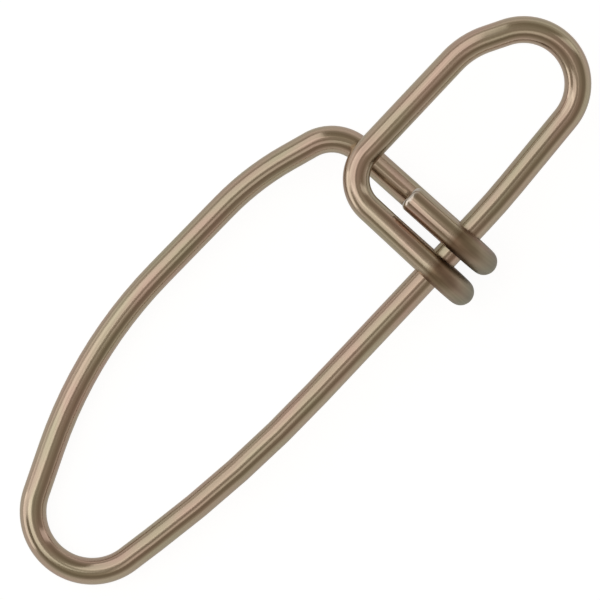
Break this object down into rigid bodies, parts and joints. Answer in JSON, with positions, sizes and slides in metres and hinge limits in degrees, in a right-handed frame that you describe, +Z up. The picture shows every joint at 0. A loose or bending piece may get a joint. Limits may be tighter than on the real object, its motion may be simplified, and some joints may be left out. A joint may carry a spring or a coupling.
{
  "type": "cross lock snap",
  "caption": "Snap bent from one length of round spring wire: a small line eye and a long lure loop whose hooked legs lock across each other on a shared straight spine.",
  "frame": {"origin": "centre of the bounding box's bottom face, on the table that the snap lies on", "axes": "+X along the straight spine towards the small line eye; +Y across the loops, from the spine to their outer legs; +Z up, away from the table"},
  "size_m": [0.0424, 0.0148, 0.0049],
  "materials": {
    "spring_wire": "drawn spring wire with a smoky bronze tint, bright satin, with fine lines along the wire"
  },
  "bodies": {
    "root": {"snap_wire": "spring_wire"}
  },
  "joints": []
}
